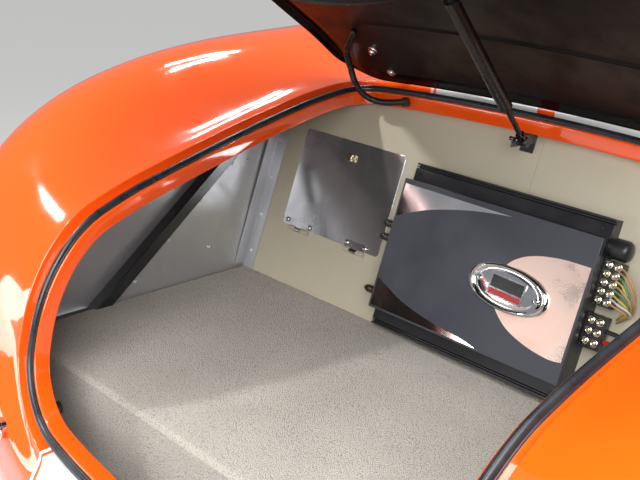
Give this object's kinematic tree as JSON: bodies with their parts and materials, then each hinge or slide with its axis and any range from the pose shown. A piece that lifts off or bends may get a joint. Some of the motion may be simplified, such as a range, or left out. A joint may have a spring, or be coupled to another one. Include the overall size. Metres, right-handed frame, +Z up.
{
  "type": "roadster boot section",
  "caption": "Rear body section of a kit car roadster with its lined boot, hinged lid on a gas strut, access panel and amplifier.",
  "frame": {"origin": "centre of the four chassis bolts, on the front face of the cross-member below the bulkhead", "axes": "+X to the car's right, +Y forward, +Z up"},
  "size_m": [1.7446, 1.2415, 1.1502],
  "materials": {
    "polished_aluminium": "polished",
    "amp_casting": "anodised",
    "amp_cover": "satin",
    "orange_gelcoat": "gloss",
    "seal_rubber": "matte",
    "frame_black": "satin",
    "hinge_steel": "polished",
    "bulkhead_paint": "satin",
    "cable_black": "satin",
    "black_plastic": "satin",
    "cable_red": "satin",
    "sheet_aluminium": "satin",
    "carpet": "pile",
    "bright_chrome": "polished",
    "dark_liner": "satin",
    "loom_plastic": "satin",
    "lock_brass": "polished",
    "lamp_red": "gloss",
    "strut_black": "gloss",
    "strut_chrome": "polished",
    "lamp_amber": "gloss"
  },
  "bodies": {
    "body": {"amplifier_body": "amp_casting", "amplifier_cover": "amp_cover", "boot_gutter": "orange_gelcoat", "boot_seal": "seal_rubber", "brace_left": "frame_black", "brace_right": "frame_black", "bulkhead_leaves": "hinge_steel", "bulkhead_left": "bulkhead_paint", "bulkhead_right": "bulkhead_paint", "bumper_rod_left": "frame_black", "bumper_rod_right": "frame_black", "cable_black": "cable_black", "cable_glands": "black_plastic", "cable_red": "cable_red", "corner_angle_left": "sheet_aluminium", "corner_angle_right": "sheet_aluminium", "cross_member": "frame_black", "deck_hinge_leaves": "hinge_steel", "floor_carpet": "carpet", "floor_panel": "sheet_aluminium", "floor_rails": "frame_black", "fuse_cap": "black_plastic", "lamp_bezels": "bright_chrome", "lid_hinge_pins": "hinge_steel", "lid_loom": "loom_plastic", "loom_ferrule": "black_plastic", "panel_hinge_pins": "hinge_steel", "power_block": "black_plastic", "rear_rail": "frame_black", "rear_side_panel_left": "sheet_aluminium", "rear_side_panel_right": "sheet_aluminium", "riser_carpet": "carpet", "side_panel_left": "sheet_aluminium", "side_panel_right": "sheet_aluminium", "signal_plugs": "black_plastic", "speaker_block": "black_plastic", "stop_lenses": "lamp_red", "strut_foot_bracket": "frame_black", "tail_shell": "orange_gelcoat", "turn_lenses": "lamp_amber", "well_floor": "sheet_aluminium"},
    "lid": {"lid_clevis": "frame_black", "lid_handle": "bright_chrome", "lid_hinge_leaves": "hinge_steel", "lid_liner": "dark_liner", "lid_skin": "orange_gelcoat"},
    "strut_cylinder": {"strut_cylinder": "strut_black"},
    "strut_rod": {"strut_rod": "strut_chrome"},
    "access_panel": {"access_panel": "polished_aluminium", "panel_leaves": "hinge_steel", "panel_lock": "lock_brass"}
  },
  "joints": [
    {"name": "lid_hinge", "type": "hinge", "parent": "body", "child": "lid", "pos_m": [0, 0.10234, 0.52828], "axis": [1, 0, 0], "range_deg": [0, 42], "deforming": ["lid_loom"]},
    {"name": "strut_swing", "type": "hinge", "parent": "lid", "child": "strut_cylinder", "pos_m": [0, -0.294, 0.73], "axis": [1, 0, 0], "range_deg": [0, 9]},
    {"name": "strut_slide", "type": "slide", "parent": "strut_cylinder", "child": "strut_rod", "axis": [0, 0.7747, -0.6323], "range_m": [-0.056, 0]},
    {"name": "access_panel_hinge", "type": "hinge", "parent": "body", "child": "access_panel", "pos_m": [0, 0.00797, 0.15495], "axis": [1, 0, 0], "range_deg": [0, 95]}
  ],
  "couplings": [
    {"joint": "strut_swing", "follows": "lid_hinge", "ratio": 0.18536},
    {"joint": "strut_slide", "follows": "lid_hinge", "m_per_rad": -0.069633}
  ]
}
